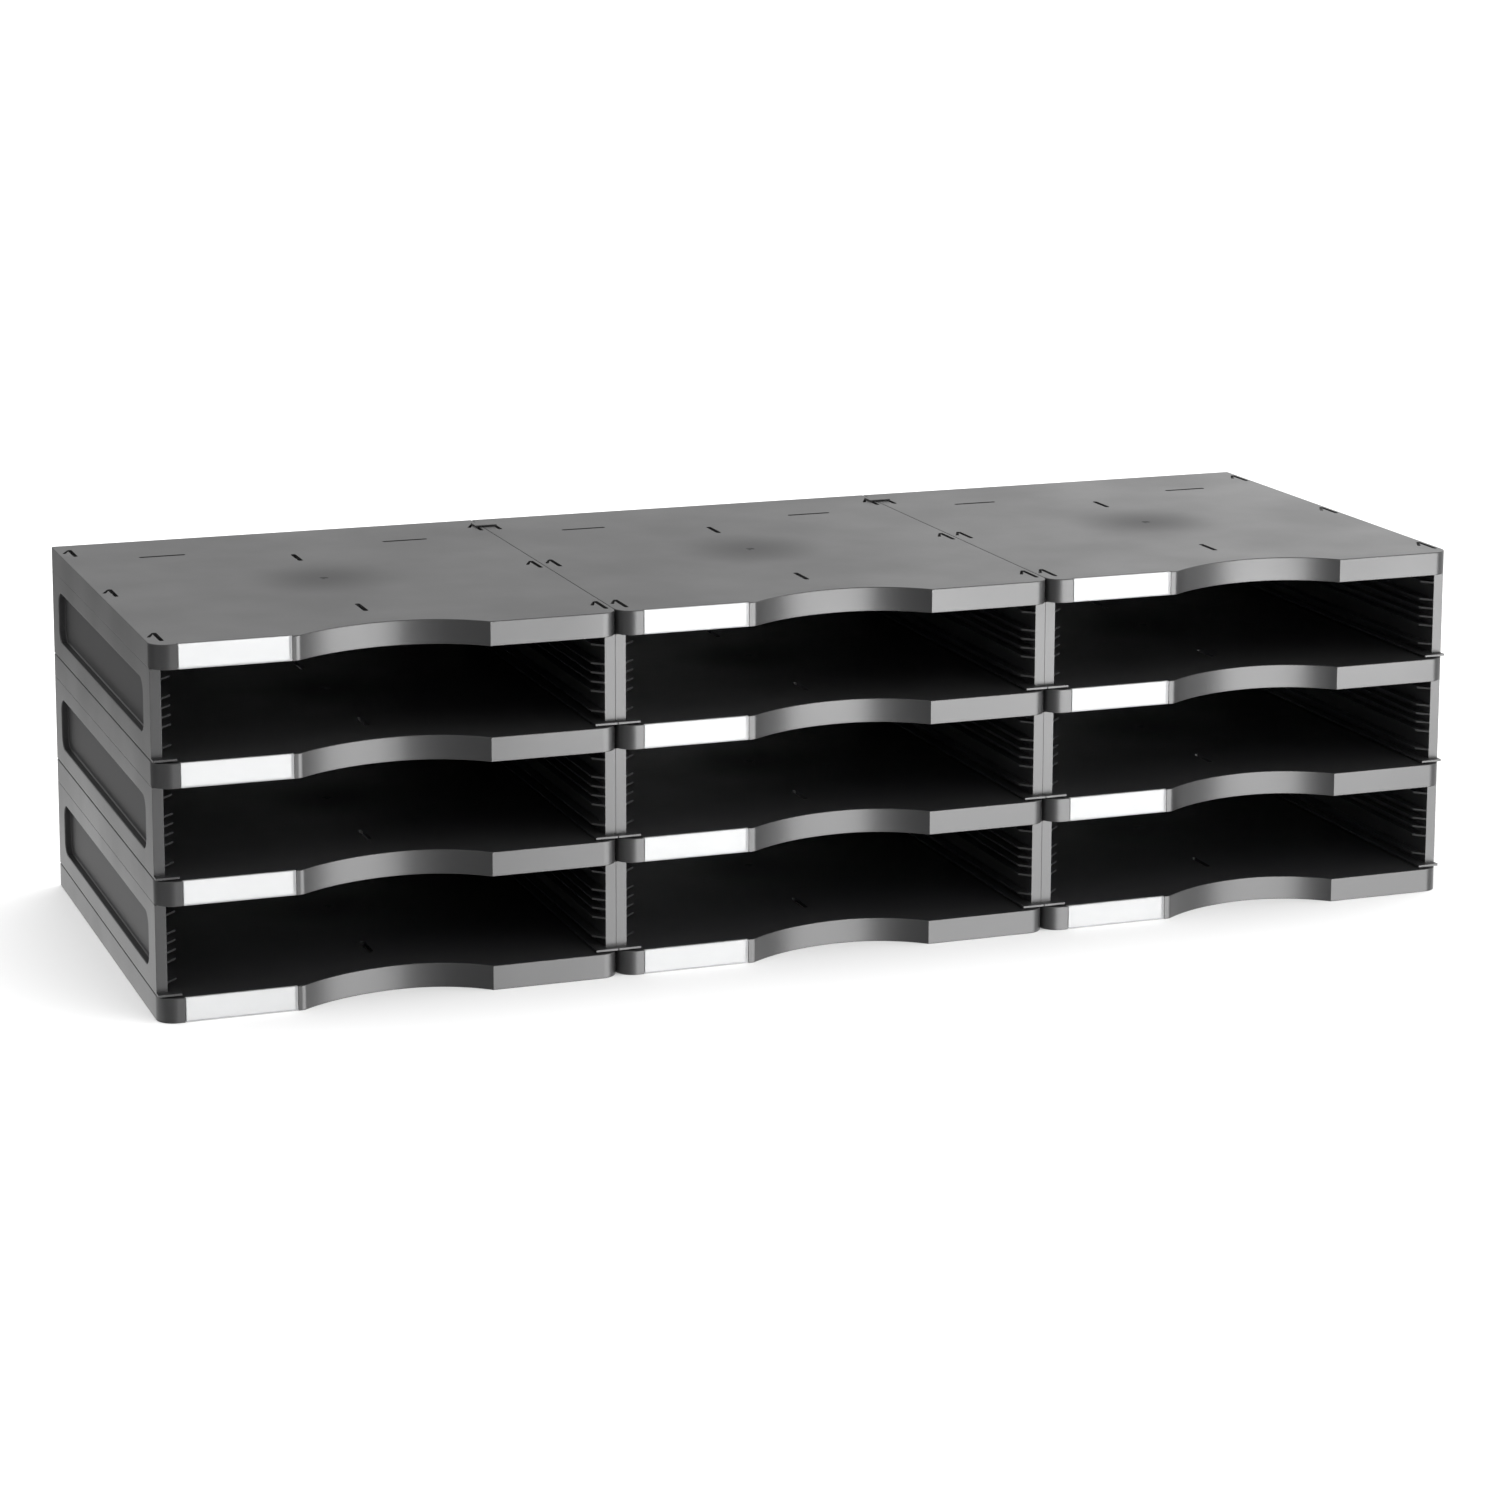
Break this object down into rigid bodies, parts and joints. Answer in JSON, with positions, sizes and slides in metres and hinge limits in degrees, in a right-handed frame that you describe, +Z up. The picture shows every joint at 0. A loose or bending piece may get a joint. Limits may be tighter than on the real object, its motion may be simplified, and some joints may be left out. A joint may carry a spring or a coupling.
{
  "type": "document organizer",
  "caption": "Free-standing desk organizer: a row of stacked open compartments in dark grey plastic, with finger scoops, guide ledges and lift-out label cards in clear windows.",
  "frame": {"origin": "Middle of the footprint, on the surface that the organizer stands on.", "axes": "+X along the row of columns, -Y out of the open front, +Z up."},
  "size_m": [0.8996, 0.335, 0.2413],
  "materials": {
    "body_plastic": "satin moulded plastic, dark grey",
    "clear_plastic": "clear, glossy",
    "card_paper": "plain white card"
  },
  "bodies": {
    "organizer": {"left_base_plate": "body_plastic", "left_first_plate": "body_plastic", "left_second_plate": "body_plastic", "left_top_plate": "body_plastic", "left_lower_wall_left": "body_plastic", "left_lower_wall_right": "body_plastic", "left_lower_back_panel": "body_plastic", "left_centre_wall_left": "body_plastic", "left_centre_wall_right": "body_plastic", "left_centre_back_panel": "body_plastic", "left_upper_wall_left": "body_plastic", "left_upper_wall_right": "body_plastic", "left_upper_back_panel": "body_plastic", "left_label_windows": "clear_plastic", "middle_base_plate": "body_plastic", "middle_first_plate": "body_plastic", "middle_second_plate": "body_plastic", "middle_top_plate": "body_plastic", "middle_lower_wall_left": "body_plastic", "middle_lower_wall_right": "body_plastic", "middle_lower_back_panel": "body_plastic", "middle_centre_wall_left": "body_plastic", "middle_centre_wall_right": "body_plastic", "middle_centre_back_panel": "body_plastic", "middle_upper_wall_left": "body_plastic", "middle_upper_wall_right": "body_plastic", "middle_upper_back_panel": "body_plastic", "middle_label_windows": "clear_plastic", "right_base_plate": "body_plastic", "right_first_plate": "body_plastic", "right_second_plate": "body_plastic", "right_top_plate": "body_plastic", "right_lower_wall_left": "body_plastic", "right_lower_wall_right": "body_plastic", "right_lower_back_panel": "body_plastic", "right_centre_wall_left": "body_plastic", "right_centre_wall_right": "body_plastic", "right_centre_back_panel": "body_plastic", "right_upper_wall_left": "body_plastic", "right_upper_wall_right": "body_plastic", "right_upper_back_panel": "body_plastic", "right_label_windows": "clear_plastic", "left_seam_link_clip": "body_plastic", "middle_seam_link_clip": "body_plastic"},
    "left_base_label": {"left_base_label_card": "card_paper"},
    "left_first_label": {"left_first_label_card": "card_paper"},
    "left_second_label": {"left_second_label_card": "card_paper"},
    "left_top_label": {"left_top_label_card": "card_paper"},
    "middle_base_label": {"middle_base_label_card": "card_paper"},
    "middle_first_label": {"middle_first_label_card": "card_paper"},
    "middle_second_label": {"middle_second_label_card": "card_paper"},
    "middle_top_label": {"middle_top_label_card": "card_paper"},
    "right_base_label": {"right_base_label_card": "card_paper"},
    "right_first_label": {"right_first_label_card": "card_paper"},
    "right_second_label": {"right_second_label_card": "card_paper"},
    "right_top_label": {"right_top_label_card": "card_paper"}
  },
  "joints": [
    {"name": "left_base_label_lift", "type": "slide", "parent": "organizer", "child": "left_base_label", "axis": [0, 0, 1], "range_m": [0, 0.0135]},
    {"name": "left_first_label_lift", "type": "slide", "parent": "organizer", "child": "left_first_label", "axis": [0, 0, 1], "range_m": [0, 0.0135]},
    {"name": "left_second_label_lift", "type": "slide", "parent": "organizer", "child": "left_second_label", "axis": [0, 0, 1], "range_m": [0, 0.0135]},
    {"name": "left_top_label_lift", "type": "slide", "parent": "organizer", "child": "left_top_label", "axis": [0, 0, 1], "range_m": [0, 0.0135]},
    {"name": "middle_base_label_lift", "type": "slide", "parent": "organizer", "child": "middle_base_label", "axis": [0, 0, 1], "range_m": [0, 0.0135]},
    {"name": "middle_first_label_lift", "type": "slide", "parent": "organizer", "child": "middle_first_label", "axis": [0, 0, 1], "range_m": [0, 0.0135]},
    {"name": "middle_second_label_lift", "type": "slide", "parent": "organizer", "child": "middle_second_label", "axis": [0, 0, 1], "range_m": [0, 0.0135]},
    {"name": "middle_top_label_lift", "type": "slide", "parent": "organizer", "child": "middle_top_label", "axis": [0, 0, 1], "range_m": [0, 0.0135]},
    {"name": "right_base_label_lift", "type": "slide", "parent": "organizer", "child": "right_base_label", "axis": [0, 0, 1], "range_m": [0, 0.0135]},
    {"name": "right_first_label_lift", "type": "slide", "parent": "organizer", "child": "right_first_label", "axis": [0, 0, 1], "range_m": [0, 0.0135]},
    {"name": "right_second_label_lift", "type": "slide", "parent": "organizer", "child": "right_second_label", "axis": [0, 0, 1], "range_m": [0, 0.0135]},
    {"name": "right_top_label_lift", "type": "slide", "parent": "organizer", "child": "right_top_label", "axis": [0, 0, 1], "range_m": [0, 0.0135]}
  ]
}
